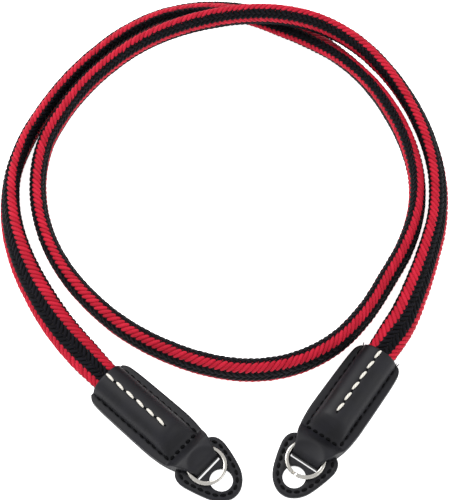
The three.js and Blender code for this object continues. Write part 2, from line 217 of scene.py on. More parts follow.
# Along the tab: its half width, how much of the bulge is there, and of the tongue's rise
TAB_HALF = [
    (0.0, 8.0), (0.8, 8.8), (2.7, 9.5), (6.0, 9.8), (10.0, 9.95), (19.0, 10.1),
    (28.0, 10.2), (31.0, 10.15), (33.0, 10.0), (35.0, 9.8), (37.0, 9.5), (39.0, 9.05),
    (40.5, 8.6), (42.0, 8.05), (43.5, 7.4), (45.0, 6.7), (47.0, 5.9), (48.2, 5.45),
    (49.5, 5.3),
]
TAB_BULGE = [
    (0.0, 1.0), (29.0, 1.0), (31.0, 0.97), (33.0, 0.8), (35.0, 0.5), (37.0, 0.22),
    (39.0, 0.08), (41.0, 0.02), (44.0, 0.0), (49.5, 0.0),
]
TAB_LOOP = [
    (0.0, 0.0), (37.8, 0.0), (38.8, 0.22), (39.8, 0.52), (40.8, 0.78), (42.0, 0.97),
    (43.2, 1.0), (45.5, 0.99), (47.5, 0.96), (49.5, 0.93),
]
# The fold: distance from the mouth, how much lower on top, height underneath
TAB_FOLD = [
    (47.4, 0.05, 0.0),
    (48.1, 0.25, 0.05),
    (48.7, 0.6, 0.22),
    (49.1, 1.05, 0.5),
    (49.38, 1.6, 0.95),
    (49.5, 2.2, 1.5),
]
# The space in the tongue's loop: its profile as shares of its length and heights, and its
# plan as distances across and where it begins
LOOP_PROFILE = [
    (0.0, LOOP_FLOOR),
    (0.97, LOOP_FLOOR),
    (1.0, LOOP_FLOOR + 0.23),
    (1.0, LOOP_ROOF - 0.6),
    (0.935, LOOP_ROOF),
    (0.29, LOOP_ROOF),
    (0.15, LOOP_ROOF - 0.87),
    (0.04, LOOP_FLOOR + 1.14),
]
LOOP_PLAN = [(-14.0, 45.2), (-7.0, 44.8), (-5.8, 39.0), (5.8, 39.0), (7.0, 44.8), (14.0, 45.2)]

# Ring pad: heights, how far its tip sags from where the sag begins, and its outline as
# distance past the tab's fold and half width
PAD_BASE = 1.4
PAD_TOP = 3.0
PAD_DROOP = 1.1
DROOP_FROM = 50.0
DROOP_LENGTH = 13.4
PAD_HALF = [
    (-9.0, 0.0), (-8.82, 4.0), (-8.2, 7.2), (-7.0, 9.4), (-5.2, 10.6), (-2.6, 10.9),
    (0.56, 10.3), (3.5, 9.5), (6.5, 8.5), (9.0, 7.4), (11.2, 5.8), (12.8, 3.8),
    (13.7, 1.8), (13.9, 0.0),
]
PAD_SLIT = (48.0, 50.45, 5.6)  # near and far side, and reach across
HOLE_RADIUS = 4.1
HOLE_AT = 55.9
PAD_MIDDLE = (51.5, 0.0)
NEAR_HOLE = 0.05
# The pad's face near its outline and near its hole: distance in, drop
PAD_EDGE = [(0, 0.42), (0.14, 0.14), (0.42, 0.0), (1.35, 0.0), (1.8, 0.2), (2.25, 0.0)]
HOLE_EDGE = [(0, 0.3), (0.12, 0.1), (0.36, 0.0)]
# The line between the pad's two layers: height from the middle, distance in
PAD_SEAM = [(0.12, 0.0), (0.0, 0.14), (-0.12, 0.0)]
# Points spread over the pad's face, and how clear they stay of its edges
GRID_LONG = (41.0, 63.0)
GRID_WIDE = (-9.9, 10.0)
GRID_STEP = 1.1
GRID_INSET = 2.9
GRID_CLEAR = 0.5
HOLE_CLEAR = 0.8

# Split ring: its centre from the mouth, the radius to the wire's middle, the wire's width
# and one turn's height, the rise from one turn to the next, and the underside's height
RING_AT = 48.9
RING_RADIUS = 6.55
RING_WIRE = 1.3
RING_TURN = 0.6
RING_RISE = 0.7
RING_BASE = 3.3
RING_STEP = 16.0  # degrees in which the wire climbs
RING_END = {"left": 200.0, "right": 5.0}  # where the wire starts, in degrees
RING_CORNER = 0.29  # the radius of the wire's edges
RING_ROWS = 220

# From how many degrees on an edge looks sharp: on a tab, and on a pad or ring
TAB_SHARP = 38
EDGE_SHARP = 50

# Stitches: width, height and how far one is sunk
MACHINE_STITCH = (0.95, 0.56, 0.0)
SEAM_STITCH = (1.06, 0.66, 0.12)
# Thin black spindles sunk where the seam's slits are: painted shade for the dark inside of a slit.
SEAM_SLIT_SHADOW = (0.6, 0.2, 0.05)
PAD_STITCH = (0.9, 0.5, 0.0)
LOOSE_THREAD = (0.42, 0.42, 0.0)
# Where a stitch has its rings of points, as shares of its half length
STITCH_LONG = (-1, -0.9, -0.66, -0.3, 0, 0.3, 0.66, 0.9, 1)
STITCH_SIDES = 10
# Rows of stitches: start of the first, pitch, length, number
SIDE_ROW = (2.0, 3.02, 2.1, 12)
FOOT_ROW = (0.35 - STITCH_OUT, 2.68, 1.9, 5)
SEAM_ROW = (0.15, 4.95, 4.05, 6)
SLIT_ROW = (3.7, 4.95, 1.9, 6)
LAST_SLIT = 1.3  # the last slit's length
SEAM_SKEWS = (0.2, 0.28)  # how far a stitch's ends are off the middle, in turns
SLIT_SKEW = 0.2
# Cut thread ends: ahead, out and up from the stitch row's start
LOOSE_FROM = 0.7
LOOSE_ENDS = ((-2.0, 0.6, 0.8), (-1.6, -0.6, 0.8))
# The row round a pad: distance in from its edge, depth, pitch, and the shares of a pitch
# at which each stitch starts and ends
PAD_STITCH_IN = 1.8
PAD_STITCH_LOW = 0.12
PAD_STITCH_PITCH = 2.75
PAD_STITCH_SPAN = (0.08, 0.84)
PAD_STITCH_POINTS = 600


# Colours and materials

# The sockets of a mix node that mixes colours: factor, first and second colour, result
FACTOR, FIRST, SECOND, MIXED = 0, 6, 7, 2


def linear(code):
    """An sRGB hex colour as linear red, green, blue and alpha."""
    parts = [int(code[i : i + 2], 16) / 255 for i in (1, 3, 5)]
    return [p / 12.92 if p <= 0.04045 else ((p + 0.055) / 1.055) ** 2.4 for p in parts] + [1]


def set_inputs(tree, node, inputs):
    """Sets inputs, given by name or in order, to values or to other nodes' outputs."""
    pairs = inputs.items() if isinstance(inputs, dict) else enumerate(inputs)
    for name, value in pairs:
        if isinstance(value, bpy.types.NodeSocket):
            tree.links.new(value, node.inputs[name])
        else:
            node.inputs[name].default_value = value


def add_node(tree, kind, output, inputs=(), **settings):
    """The output of a new node with its settings and inputs. A range's inputs in order are
    its value, the two ends that it comes from and the two that it goes to."""
    node = tree.nodes.new("ShaderNode" + kind)
    for name, value in settings.items():
        setattr(node, name, value)
    set_inputs(tree, node, inputs)
    return node.outputs[output]


def new_material(name, **values):
    """A material with a principled shader, its node tree and the shader."""
    material = bpy.data.materials.new(name)
    material.use_nodes = True
    tree = material.node_tree
    shader = tree.nodes["Principled BSDF"]
    for key, value in values.items():
        shader.inputs[key.replace("_", " ")].default_value = value
    return material, tree, shader


def yarn_places(tree):
    """How far along a bundle or thread a point is, and how far across, in millimetres."""
    place = add_node(tree, "UVMap", "UV", uv_map="yarn")
    along = add_node(tree, "SeparateXYZ", "X", [place])
    return along, along.node.outputs["Y"]


def strand_height(tree, along, across):
    """How high the fine strands stand that run a bundle's length at a slight slant."""
    slant = add_node(tree, "Math", 0, [along, STRAND_SLANT], operation="MULTIPLY")
    place = add_node(tree, "Math", 0, [across, slant], operation="ADD")
    turns = add_node(tree, "Math", 0, [place, 2 * math.pi / STRAND_WIDTH], operation="MULTIPLY")
    wave = add_node(tree, "Math", 0, [turns], operation="SINE")
    return add_node(tree, "MapRange", "Result", [wave, -1.0, 0.6, 0.0, 0.62])


def yarn_material(name, shade, middle, light, gloss, painted_groove_shade):
    """Acrylic yarn, braided: dull, with fine strands and fuzz of 0.12 mm, a tone of each
    bundle's own, painted highlights on the strands' crests with painted shade between
    them, and painted shade in the grooves between bundles."""
    material, tree, shader = new_material(
        name, Roughness=0.7, Sheen_Weight=0.06, Sheen_Roughness=0.4, Specular_IOR_Level=gloss
    )
    along, across = yarn_places(tree)
    high = strand_height(tree, along, across)
    tone = add_node(tree, "Attribute", "Fac", attribute_name="tone")
    level = add_node(tree, "Math", 0, [high, tone], operation="ADD")
    place = add_node(tree, "TexCoord", "Object")
    hairs = {"Vector": place, "Scale": 1 / 0.00012, "Detail": 3.0}
    fibre = add_node(tree, "TexNoise", "Fac", hairs)
    fuzz = add_node(tree, "MapRange", "Result", [fibre, 0.3, 0.7, -0.12, 0.12])
    total = add_node(tree, "Math", 0, [level, fuzz], operation="ADD")
    # Painted shade: the colour darkens towards a bundle's sides, where the groove between bundles
    # is.
    side = add_node(tree, "Math", 0, [across], operation="ABSOLUTE")
    painted_groove_shadow = add_node(tree, "MapRange", "Result", [side, SHADE_FROM, SHADE_TO, 0.0, -painted_groove_shade])
    shaded = add_node(tree, "Math", 0, [total, painted_groove_shadow], operation="ADD")
    # The ramp turns strand height into colour: a painted highlight on each strand's crest and
    # painted shade between strands.
    ramp = add_node(tree, "ValToRGB", "Color", [shaded])
    stops = ramp.node.color_ramp.elements
    stops[0].color = linear(shade)
    stops[1].color = linear(light)
    stops.new(0.5).color = linear(middle)
    relief = add_node(tree, "Math", 0, [fibre, 0.35, high], operation="MULTIPLY_ADD")
    bump = {"Height": relief, "Strength": 0.55, "Distance": 0.00006}
    normal = add_node(tree, "Bump", "Normal", bump)
    set_inputs(tree, shader, {"Base Color": ramp, "Sheen Tint": linear(light), "Normal": normal})
    return material


def core_material():
    """Dull filler yarn, dark in the gaps between bundles, uneven by 0.3 mm tufts."""
    material, tree, shader = new_material("dark_filler_yarn", Roughness=0.9)
    place = add_node(tree, "TexCoord", "Object")
    fibre = add_node(tree, "TexNoise", "Fac", {"Vector": place, "Scale": 1 / 0.0003, "Detail": 3.0})
    patches = add_node(tree, "MapRange", "Result", [fibre, 0.35, 0.65])
    tints = {FACTOR: patches, FIRST: linear("#0C0609"), SECOND: linear("#1A1013")}
    colour = add_node(tree, "Mix", MIXED, tints, data_type="RGBA")
    bump = {"Height": fibre, "Strength": 0.3, "Distance": 0.00005}
    normal = add_node(tree, "Bump", "Normal", bump)
    set_inputs(tree, shader, {"Base Color": colour, "Normal": normal})
    return material


def leather_material():
    """Smooth pressed leather, dyed black: softly shining, with 0.42 mm pebbles and 0.16 mm
    grain, and cloudy in colour and gloss over some 6 mm."""
    material, tree, shader = new_material("black_leather", Specular_IOR_Level=0.27)
    place = add_node(tree, "TexCoord", "Object")
    cloud = add_node(tree, "TexNoise", "Fac", {"Vector": place, "Scale": 1 / 0.006, "Detail": 3.0})
    patches = add_node(tree, "MapRange", "Result", [cloud, 0.35, 0.65])
    tints = {FACTOR: patches, FIRST: linear("#0F0F13"), SECOND: linear("#15151B")}
    colour = add_node(tree, "Mix", MIXED, tints, data_type="RGBA")
    cells = add_node(tree, "TexVoronoi", "Distance", {"Vector": place, "Scale": 1 / 0.00042})
    pebble = add_node(tree, "MapRange", "Result", [cells, 0.0, 0.6])
    pores = {"Vector": place, "Scale": 1 / 0.00016, "Detail": 4.0, "Roughness": 0.6}
    fine = add_node(tree, "TexNoise", "Fac", pores)
    grain = add_node(tree, "Math", 0, [pebble, 0.5, fine], operation="MULTIPLY_ADD")
    rough = add_node(tree, "MapRange", "Result", [cloud, 0.3, 0.7, 0.46, 0.58])
    bump = {"Height": grain, "Strength": 0.3, "Distance": 0.00005}
    normal = add_node(tree, "Bump", "Normal", bump)
    set_inputs(tree, shader, {"Base Color": colour, "Roughness": rough, "Normal": normal})
    return material


def nickel_material():
    """Steel wire, nickel-plated and tumbled: it mirrors, with faint 0.5 mm marks."""
    material, tree, shader = new_material("nickel_plated_steel", Metallic=1.0)
    place = add_node(tree, "TexCoord", "Object")
    marks = add_node(tree, "TexNoise", "Fac", {"Vector": place, "Scale": 1 / 0.0005, "Detail": 3.0})
    rough = add_node(tree, "MapRange", "Result", [marks, 0.3, 0.7, 0.09, 0.15])
    bump = {"Height": marks, "Strength": 0.02, "Distance": 0.00002}
    normal = add_node(tree, "Bump", "Normal", bump)
    look = {"Base Color": linear("#C4C1BB"), "Roughness": rough, "Normal": normal}
    set_inputs(tree, shader, look)
    return material


def thread_material(name, dark, light, roughness):
    """Waxed sewing thread: two plies twisted together, with a painted highlight on each ply and
    painted shade in the line between them.
    """
    material, tree, shader = new_material(name, Roughness=roughness, Specular_IOR_Level=0.08)
    place = add_node(tree, "Math", 0, yarn_places(tree), operation="ADD")
    turns = add_node(tree, "Math", 0, [place, 2 * math.pi / PLY_LENGTH], operation="MULTIPLY")
    wave = add_node(tree, "Math", 0, [turns], operation="SINE")
    high = add_node(tree, "MapRange", "Result", [wave, -1.0, 0.4])
    # Painted light and shade: each ply lighter on its crest, darker in the line between plies.
    tints = {FACTOR: high, FIRST: linear(dark), SECOND: linear(light)}
    colour = add_node(tree, "Mix", MIXED, tints, data_type="RGBA")
    bump = {"Height": high, "Strength": 0.4, "Distance": 0.0001}
    normal = add_node(tree, "Bump", "Normal", bump)
    set_inputs(tree, shader, {"Base Color": colour, "Normal": normal})
    return material


# Meshes

def new_object(name, mesh, materials, replaced=()):
    """An object for a mesh that rides on the strap, with its materials, hiding the parts that it
    replaces.
    """
    piece = bpy.data.objects.new(name, mesh)
    bpy.context.scene.collection.objects.link(piece)
    for material in materials:
        mesh.materials.append(material)
    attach(piece, "root")
    if replaced:
        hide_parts(*replaced)
    return piece


def new_mesh(name, points, faces, smooth=True):
    """A mesh from points in metres and faces of their numbers."""
    mesh = bpy.data.meshes.new(name)
    mesh.from_pydata(np.asarray(points, float).tolist(), [], [list(map(int, f)) for f in faces])
    mesh.update()
    mesh.polygons.foreach_set("use_smooth", [smooth] * len(mesh.polygons))
    return mesh


def set_uv(mesh, values):
    """Gives each corner the UV of its vertex, in millimetres."""
    layer = mesh.uv_layers.new(name="yarn")
    corners = np.empty(len(mesh.loops), dtype=int)
    mesh.loops.foreach_get("vertex_index", corners)
    layer.data.foreach_set("uv", np.asarray(values, float)[corners].ravel())


def grid_faces(rows, columns, closed=False):
    """Quads between rows of points, with the last column joined to the first if closed."""
    faces = []
    for i in range(rows - 1):
        for k in range(columns if closed else columns - 1):
            a = i * columns + k
            b = i * columns + (k + 1) % columns
            faces.append((a, b, b + columns, a + columns))
    return faces


def tube_faces(rows, sides):
    """Quads round a tube of closed rings, with a face over each end."""
    faces = grid_faces(rows, sides, closed=True)
    last = (rows - 1) * sides
    return faces + [list(range(sides))[::-1], list(range(last, last + sides))]


def walked_along(line):
    """The distance along a line at each of its points."""
    return np.concatenate([[0], np.cumsum(np.linalg.norm(np.diff(line, axis=0), axis=1))])


def smooth_curve(table, x):
    """A table's value at x, without overshoot between its rows."""
    xs, ys = (np.array(c, float) for c in zip(*table))
    x = np.clip(np.asarray(x, float), xs[0], xs[-1])
    gaps = np.diff(xs)
    rise = np.diff(ys) / gaps
    both = rise[:-1] * rise[1:]
    inner = np.where(both > 0, 2 * both / np.where(both > 0, rise[:-1] + rise[1:], 1), 0)
    slope = np.concatenate([[rise[0]], inner, [rise[-1]]])
    k = np.clip(np.searchsorted(xs, x, side="right") - 1, 0, len(xs) - 2)
    t = (x - xs[k]) / gaps[k]
    ease = t * t * (3 - 2 * t)
    bow = t * (1 - t) * gaps[k] * (slope[k] * (1 - t) - slope[k + 1] * t)
    return ys[k] * (1 - ease) + ys[k + 1] * ease + bow


def tab_to_world(side, points):
    """Points in a tab's own millimetres, placed in the frame."""
    x, y, heading = TABS[side]
    angle = math.radians(heading)
    p = np.asarray(points, float).reshape(-1, 3) * MM
    out = np.empty_like(p)
    out[:, 0] = COIL_CENTRE[0] + x + p[:, 0] * math.cos(angle) - p[:, 1] * math.sin(angle)
    out[:, 1] = COIL_CENTRE[1] + y + p[:, 0] * math.sin(angle) + p[:, 1] * math.cos(angle)
    out[:, 2] = p[:, 2]
    return out


# The rope's line

def route_stops():
    """The route's points and rolls, from inside the left tab to inside the right one."""
    seats = [ROPE_SEAT * share for share in (1, 0.75, 0.5, 0.25, 0)]

    def inside(side, along):
        x, y, heading = TABS[side]
        angle = math.radians(heading)
        return (x + along * math.cos(angle), y + along * math.sin(angle), ROPE_IN_TAB, 0.0)

    stops = [inside("left", along) for along in seats]
    for bearing, radius, lift, roll in ROUTE:
        angle, turn = math.radians(bearing), math.radians(roll)
        resting = math.hypot(ROPE_WIDTH / 2 * math.sin(turn), ROPE_THICKNESS / 2 * math.cos(turn))
        stops.append((radius * math.cos(angle), radius * math.sin(angle), resting + lift, turn))
    stops += [inside("right", along) for along in reversed(seats)]
    stops = np.array(stops)
    stops[:, 0] += COIL_CENTRE[0]
    stops[:, 1] += COIL_CENTRE[1]
    return stops


def curve_points(stops, per_stop):
    """Points and rolls along a centripetal curve through the stops."""
    places = stops[:, :3]
    padded = np.vstack([2 * places[0] - places[1], places, 2 * places[-1] - places[-2]])
    points, rolls = [], []
    w = np.linspace(0, 1, per_stop, endpoint=False)[:, None]
    for i in range(len(places) - 1):
        p0, p1, p2, p3 = padded[i : i + 4]
        d0, d1, d2 = (math.sqrt(np.linalg.norm(b - a)) for a, b in ((p0, p1), (p1, p2), (p2, p3)))
        start = ((p1 - p0) / d0 - (p2 - p0) / (d0 + d1) + (p2 - p1) / d1) * d1
        end = ((p2 - p1) / d1 - (p3 - p1) / (d1 + d2) + (p3 - p2) / d2) * d1
        square = -3 * p1 + 3 * p2 - 2 * start - end
        cube = 2 * p1 - 2 * p2 + start + end
        points.append(p1 + start * w + square * w**2 + cube * w**3)
        rolls.append(stops[i, 3] + (stops[i + 1, 3] - stops[i, 3]) * w[:, 0])
    points.append(places[-1:])
    rolls.append(stops[-1:, 3])
    return np.vstack(points), np.concatenate(rolls)


class Rope:
    """The rope's centre, wide axis and thin axis at even steps, and points on its skin."""

    STEP = 0.0005
    OVAL_STEPS = 1440

    def __init__(self):
        points, rolls = curve_points(route_stops(), per_stop=60)
        walked = walked_along(points)
        self.length = walked[-1]
        count = int(round(self.length / self.STEP))
        self.at = np.linspace(0, self.length, count + 1)
        self.centre = np.stack([np.interp(self.at, walked, points[:, k]) for k in range(3)], 1)
        roll = np.interp(self.at, walked, rolls)[:, None]
        along = np.gradient(self.centre, axis=0)
        along /= np.linalg.norm(along, axis=1)[:, None]
        outward = np.cross([0, 0, 1], along)
        outward /= np.linalg.norm(outward, axis=1)[:, None]
        above = np.cross(along, outward)
        self.wide = -np.cos(roll) * outward + np.sin(roll) * above
        self.thin = np.cos(roll) * above + np.sin(roll) * outward
        from_mouth = np.minimum(self.at, self.length - self.at) - ROPE_SEAT
        ease = np.clip(from_mouth / PRESSED_EASE, 0, 1)
        swelled = ease * ease * (3 - 2 * ease)
        self.half_wide = (PRESSED_WIDTH + (ROPE_WIDTH - PRESSED_WIDTH) * swelled) / 2
        self.half_thin = (PRESSED_THICKNESS + (ROPE_THICKNESS - PRESSED_THICKNESS) * swelled) / 2
        angles = np.linspace(0, 2 * math.pi, self.OVAL_STEPS + 1)
        oval = np.stack([ROPE_WIDTH / 2 * np.cos(angles), ROPE_THICKNESS / 2 * np.sin(angles)], 1)
        self.angles = angles
        self.arcs = walked_along(oval)
        self.girth = self.arcs[-1]

    def take(self, rows, at):
        """A table's values at distances along the rope, between its steps."""
        place = np.clip(at / self.length * (len(self.at) - 1), 0, len(self.at) - 1.000001)
        k = place.astype(int)
        t = (place - k).reshape(-1, *([1] * (rows.ndim - 1)))
        return rows[k] * (1 - t) + rows[k + 1] * t

    def skin(self, at, arc, lift):
        """Points at a distance along, an arc round from the wide edge, and off the skin."""
        angle = np.interp(np.mod(arc, self.girth), self.arcs, self.angles)
        c, s = np.cos(angle), np.sin(angle)
        out_wide, out_thin = c / ROPE_WIDTH, s / ROPE_THICKNESS
        size = np.hypot(out_wide, out_thin)
        wide = self.take(self.half_wide, at) * c + out_wide / size * lift
        thin = self.take(self.half_thin, at) * s + out_thin / size * lift
        points = self.take(self.centre, at) + wide[:, None] * self.take(self.wide, at)
        return points + thin[:, None] * self.take(self.thin, at)


def core_tube(rope):
    """The dark core under the bundles, the rope's whole length."""
    at = np.repeat(np.linspace(0, rope.length, CORE_ROWS), CORE_SIDES)
    arc = np.tile(np.arange(CORE_SIDES) / CORE_SIDES * rope.girth, CORE_ROWS)
    points = rope.skin(at, arc, np.full(len(at), -BUNDLE_RISE))
    return points, tube_faces(CORE_ROWS, CORE_SIDES)


def bundle_shape(yarn, width, lean):
    """One bundle's points: distance along and round from its middle, and off the skin."""
    t, q = (g.ravel() for g in np.meshgrid(BUNDLE_LONG, BUNDLE_WIDE, indexing="ij"))
    reach = width / 2 + BUNDLE_TUCK[yarn] * PITCH
    long = math.hypot(1, BUNDLE_SLOPE)
    half = BUNDLE_HALF * PITCH / long
    taper = BUNDLE_TIP + (1 - BUNDLE_TIP) * (1 - np.abs(t) ** 2.6) ** 0.8
    along = lean * BUNDLE_SLOPE * reach * t + q * half * taper / long
    round_ = reach * t - lean * BUNDLE_SLOPE * q * half * taper / long
    across = np.sqrt(np.clip(1 - np.abs(q) ** 2.2, 0, 1))
    crown = 1 - BUNDLE_SINK[yarn] * np.abs(t) ** 3.0
    crown = crown * (BUNDLE_GROOVE + (1 - BUNDLE_GROOVE) * across)
    lift = BUNDLE_RISE * (crown - 1) - BUNDLE_BED
    uv = np.stack([t * reach * long, q * half * taper], 1) / MM
    return along, round_, lift, uv


def braided_cover(rope):
    """All the bundles of the braid: points, faces, yarn of each face, tones and UVs."""
    scale = rope.girth / (sum(width for _, width, _ in COLUMNS) * PITCH)
    shares, turned = zip(*TURNED)
    points, faces, yarns, tones, uvs = [], [], [], [], []
    first = 0
    start = 0.0
    base = ROPE_SEAT - COVER_REACH
    count = int((rope.length - 2 * base) / PITCH)
    patch = np.array(grid_faces(len(BUNDLE_LONG), len(BUNDLE_WIDE)))
    size = len(BUNDLE_LONG) * len(BUNDLE_WIDE)
    for column, (yarn, width, lean) in enumerate(COLUMNS):
        along, round_, lift, uv = bundle_shape(yarn, width * PITCH * scale, lean)
        middle = (start + width / 2 - COLUMNS[0][1] / 2) * PITCH * scale
        start += width
        at = base + (np.arange(count) + 0.5 * (column % 2)) * PITCH
        phase = np.interp(at / rope.length, shares, turned) * PITCH
        wander = RNG.normal(0, BUNDLE_WANDER, count)
        swell = RNG.normal(0, BUNDLE_SWELL, count)
        for k in range(count):
            place = at[k] + along + wander[k]
            points.append(rope.skin(place, phase[k] + middle + round_, lift + swell[k]))
        faces.append(patch[None] + (first + size * np.arange(count))[:, None, None])
        yarns.append(np.full(len(patch) * count, 0 if yarn == "red" else 1))
        tones.append(np.repeat(RNG.uniform(*BUNDLE_TONES, count), size))
        uvs.append(np.tile(uv, (count, 1)))
        first += size * count
    faces = np.concatenate([f.reshape(-1, 4) for f in faces])
    return np.vstack(points), faces, np.concatenate(yarns), np.concatenate(tones), np.vstack(uvs)


def build_rope(materials):
    """The braided rope as one piece: the bundles and the core under them."""
    rope = Rope()
    cover, cover_faces, yarns, tones, uvs = braided_cover(rope)
    core, core_faces = core_tube(rope)
    faces = cover_faces.tolist() + [[len(cover) + i for i in f] for f in core_faces]
    mesh = new_mesh("braided_rope_weave", np.vstack([cover, core]), faces)
    finishes = np.concatenate([yarns, np.full(len(core_faces), 2)])
    mesh.polygons.foreach_set("material_index", finishes)
    set_uv(mesh, np.vstack([uvs, np.zeros((len(core), 2))]))
    tone = mesh.attributes.new("tone", "FLOAT", "POINT")
    tone.data.foreach_set("value", np.concatenate([tones, np.zeros(len(core))]))
    piece = new_object("braided_rope_weave", mesh, materials, ["braided_rope"])


# Leather tabs

def bell(distance, half):
    """1 in the middle, falling away smoothly over about a half width."""
    return np.exp(-((distance / half) ** 2))


def tab_top(u, v):
    """The height of a tab's upper surface."""
    u, v = np.broadcast_arrays(np.asarray(u, float), np.asarray(v, float))
    looped = smooth_curve(TAB_LOOP, u)
    side = np.clip(np.abs(v) / BULGE_HALF, 0, 1)
    z = FLANGE + (TONGUE_TOP - FLANGE) * looped
    z = z + (CREST - FLANGE) * smooth_curve(TAB_BULGE, u) * np.sqrt(1 - side**BULGE_POWER)
    rows = bell(np.abs(v) - STITCH_OUT, ROW_HALF) * (u < STITCH_END)
    foot = bell(u - STITCH_END, FOOT_HALF) * (np.abs(v) < STITCH_OUT)
    seam = bell(v, SEAM_HALF) * np.clip((SEAM_END - u) / SEAM_FADE, 0, 1)
    z = z - STITCH_GROOVE * np.maximum(rows, foot) - SEAM_GROOVE * seam
    from_ring = np.hypot(u - RING_AT, v) - RING_RADIUS
    z = z + RING_SWELL * looped * bell(from_ring, RING_SWELL_HALF)
    return z - RING_HOLLOW * looped * np.clip(-from_ring / RING_HOLLOW_HALF, 0, 1)


def tab_ring(u, half, lower=0.0, under=0.0):
    """One closed cross-section of a tab: over the top, down a side, under and up again."""
    edge = half - EDGE_REACH
    across = np.linspace(1, -1, TAB_TOP_POINTS) * edge
    top = tab_top(u, across) - lower
    side = [(edge + out, top[-1] - drop) for out, drop in TAB_RIM]
    side += [(edge + out, max(z, under + 0.5)) for out, z in TAB_SEAM]
    side += [(edge + out, under + z) for out, z in TAB_FOOT]
    points = [(u, y, z) for y, z in zip(across, top)]
    points += [(u, -y, z) for y, z in side]
    points += [(u, y, under) for y in np.linspace(-1, 1, TAB_FOOT_POINTS) * edge]
    points += [(u, y, z) for y, z in reversed(side)]
    return np.array(points)


def mouth_ring(outer, u, extra):
    """The rope's socket at a distance in, with a point for each point of the mouth."""
    angle = np.arctan2(outer[:, 2] - SEAT_AT, outer[:, 1])
    half_wide, half_thin = (half + extra for half in SOCKET_HALF)
    reach = 1 / np.hypot(np.cos(angle) / half_wide, np.sin(angle) / half_thin)
    across, up = reach * np.cos(angle), SEAT_AT + reach * np.sin(angle)
    return np.column_stack([np.full(len(outer), u), across, up])


def tab_skin():
    """Rings of points from the end of the socket, out of the mouth and on to the fold."""
    first = tab_ring(MOUTH_ROUND, float(smooth_curve(TAB_HALF, MOUTH_ROUND)))
    rounded = (first - [0, 0, SEAT_AT]) * MOUTH_NARROWED + [0, 0, SEAT_AT]
    rounded[:, 2] = np.maximum(rounded[:, 2], MOUTH_LOWEST)
    rounded[:, 0] = 0.0
    rings = [mouth_ring(first, u, extra) for u, extra in SOCKET_RINGS] + [rounded]
    for u in np.arange(MOUTH_ROUND, FOLD_START, SKIN_STEP):
        rings.append(tab_ring(u, float(smooth_curve(TAB_HALF, u))))
    for u, lower, under in TAB_FOLD:
        rings.append(tab_ring(u, float(smooth_curve(TAB_HALF, u)), lower, under))
    return np.array(rings)


def loop_cutter():
    """The space inside the tongue's loop, as a closed solid that opens at the sides only
    where the ring comes out."""
    points = []
    for y, near in LOOP_PLAN:
        points += [(near + share * (LOOP_END - near), y, z) for share, z in LOOP_PROFILE]
    return points, tube_faces(len(LOOP_PLAN), len(LOOP_PROFILE))


def apply_modifiers(piece):
    """Bakes a piece's modifiers into its mesh."""
    graph = bpy.context.evaluated_depsgraph_get()
    baked = bpy.data.meshes.new_from_object(piece.evaluated_get(graph))
    old = piece.data
    piece.modifiers.clear()
    piece.data = baked
    bpy.data.meshes.remove(old)


def face_outwards(mesh):
    """Turns a closed mesh's faces outwards."""
    work = bmesh.new()
    work.from_mesh(mesh)
    bmesh.ops.recalc_face_normals(work, faces=work.faces)
    work.to_mesh(mesh)
    work.free()


def cut_loop(piece, side):
    """Cuts the tongue's loop out of a tab."""
    points, faces = loop_cutter()
    mesh = new_mesh("loop_cutter", tab_to_world(side, points), faces, smooth=False)
    face_outwards(mesh)
    cutter = bpy.data.objects.new("loop_cutter", mesh)
    bpy.context.scene.collection.objects.link(cutter)
    cut = piece.modifiers.new("loop", "BOOLEAN")
    cut.operation = "DIFFERENCE"
    cut.solver = "EXACT"
    cut.object = cutter
    apply_modifiers(piece)
    bpy.data.objects.remove(cutter)
    bpy.data.meshes.remove(mesh)


def build_tab(side, leather):
    """A leather tab, from its socket to the fold of its tongue."""
    rings = tab_skin()
    faces = tube_faces(*rings.shape[:2])
    mesh = new_mesh(f"{side}_tab_leather", tab_to_world(side, rings), faces)
    face_outwards(mesh)
    piece = new_object(f"{side}_tab_leather", mesh, [leather], [f"{side}_end_tab"])
    cut_loop(piece, side)
    piece.data.set_sharp_from_angle(angle=math.radians(TAB_SHARP))


# Stitches

def stitch(start, end, width, height, sink):
    """A spindle of thread between two points, in millimetres, with its UVs."""
    start, end = np.asarray(start, float), np.asarray(end, float)
    along = end - start
    long = np.linalg.norm(along)
    along /= long
    across = np.cross([0, 0, 1], along)
    across /= np.linalg.norm(across)
    up = np.cross(along, across)
    points, uvs = [], []
    for t in STITCH_LONG:
        full = 0.3 + 0.7 * (1 - abs(t) ** 3)
        arch = height * (1 - abs(t) ** 3.5) - sink
        centre = (start + end) / 2 + along * (t * long / 2) + up * arch
        for k in range(STITCH_SIDES):
            angle = 2 * math.pi * k / STITCH_SIDES
            point = centre + across * (width / 2 * full * math.cos(angle))
            points.append(point + up * (height / 2 * full * math.sin(angle)))
            uvs.append((t * long / 2, width / 2 * angle))
    return np.array(points), np.array(uvs)


def build_stitches(kind, side, runs, thread, material):
    """One piece from many stitches that run from a start to an end, all of one thread."""
    name = f"{side}_{kind}"
    points, faces, uvs = [], [], []
    size = len(STITCH_LONG) * STITCH_SIDES
    pattern = tube_faces(len(STITCH_LONG), STITCH_SIDES)
    for k, (start, end) in enumerate(runs):
        spindle, places = stitch(start, end, *thread)
        faces += [[k * size + i for i in face] for face in pattern]
        points.append(spindle)
        uvs.append(places)
    mesh = new_mesh(name, tab_to_world(side, np.vstack(points)), faces)
    set_uv(mesh, np.vstack(uvs))
    new_object(name, mesh, [material])


def on_tab(u, v):
    """The point of a tab's upper surface at a place."""
    return np.array([u, v, float(tab_top(u, v))])


def stitch_row(first, pitch, length, number):
    """Where the stitches of an even row start and end."""
    return [(first + pitch * k, first + pitch * k + length) for k in range(number)]


